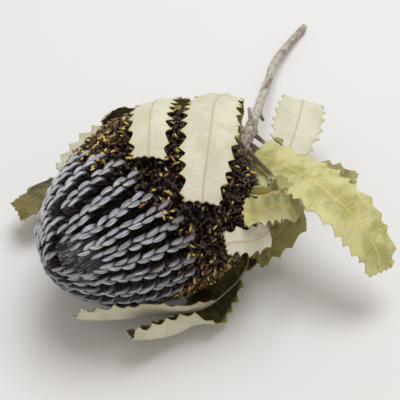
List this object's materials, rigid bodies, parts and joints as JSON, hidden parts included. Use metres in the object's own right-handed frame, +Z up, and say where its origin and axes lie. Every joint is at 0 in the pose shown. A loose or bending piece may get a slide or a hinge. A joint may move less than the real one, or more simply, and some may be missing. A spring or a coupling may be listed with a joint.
{
  "type": "dried firewood banksia",
  "caption": "Dried banksia flower head lying on its side, with grey florets, dark open florets at its base, stiff toothed leaves and a cut stem, for display.",
  "frame": {"origin": "the flat spot under the widest part of the head, on the surface that the head lies on", "axes": "+Z up from the surface; +X from the head's tip towards the cut stem, along the longest extent; the seen side of the picture looks from -X, -Y and above"},
  "size_m": [0.2278, 0.1603, 0.0791],
  "materials": {
    "grey_floret": "matte",
    "open_floret": "satin",
    "stem_bark": "matte",
    "leaf_pale_underside": "matte",
    "leaf_yellow_green": "satin",
    "leaf_olive": "satin"
  },
  "bodies": {
    "root": {"grey_florets": "grey_floret", "open_florets": "open_floret", "stem": "stem_bark", "leaf_over_head_tip_side": "leaf_pale_underside", "leaf_over_head_stem_side": "leaf_pale_underside", "leaf_behind_stem": "leaf_pale_underside", "leaf_front_pale": "leaf_pale_underside", "leaf_under_front": "leaf_pale_underside", "leaf_behind_pale": "leaf_pale_underside", "leaf_long_right": "leaf_yellow_green", "leaf_front_yellow": "leaf_yellow_green", "leaf_floor_behind": "leaf_yellow_green", "leaf_floor_right": "leaf_yellow_green", "leaf_low_right": "leaf_olive", "leaf_front_olive": "leaf_olive", "leaf_front_curled": "leaf_olive", "leaf_floor_front": "leaf_olive", "leaf_past_tip": "leaf_olive", "leaf_behind_dark": "leaf_olive", "leaf_under_behind": "leaf_olive"}
  },
  "joints": []
}
